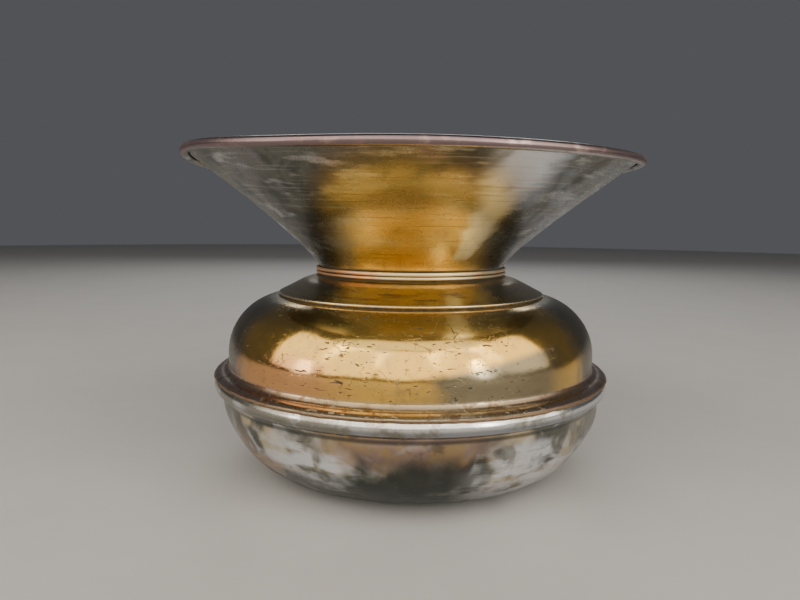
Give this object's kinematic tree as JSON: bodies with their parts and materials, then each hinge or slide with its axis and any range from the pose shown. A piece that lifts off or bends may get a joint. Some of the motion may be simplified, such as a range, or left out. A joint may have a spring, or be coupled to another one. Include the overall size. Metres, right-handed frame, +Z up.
{
  "type": "brass spittoon",
  "caption": "Old sheet-brass spittoon: a wide flared mouth with a wired rim that lifts out of a ringed neck, over a round belly made of two soldered shells.",
  "frame": {"origin": "middle of the flat bottom that the pot stands on", "axes": "+Z up along the vessel's axis of revolution; X and Y are alike"},
  "size_m": [0.23, 0.23, 0.1577],
  "materials": {
    "mouth_brass": "aged polished brass, grey-gold, brushed round the cone",
    "wire_brass": "drawn brass wire, dull",
    "ring_brass": "pale worn brass",
    "collar_brass": "aged brown-gold brass",
    "spelter": "dull brown brazing spelter",
    "dome_brass": "aged polished brass, pitted and scratched, copper-brown towards the edges",
    "bowl_brass": "aged hammered brass, silvery"
  },
  "bodies": {
    "pot": {"bowl": "bowl_brass", "girth_solder": "spelter", "dome": "dome_brass", "collar_solder": "spelter", "collar": "collar_brass", "neck_ring": "ring_brass"},
    "mouth": {"funnel": "mouth_brass", "rim_wire": "wire_brass", "seat_ring": "ring_brass"}
  },
  "joints": [
    {"name": "mouth_lift", "type": "slide", "parent": "pot", "child": "mouth", "axis": [0, 0, 1], "range_m": [0, 0.03]}
  ]
}
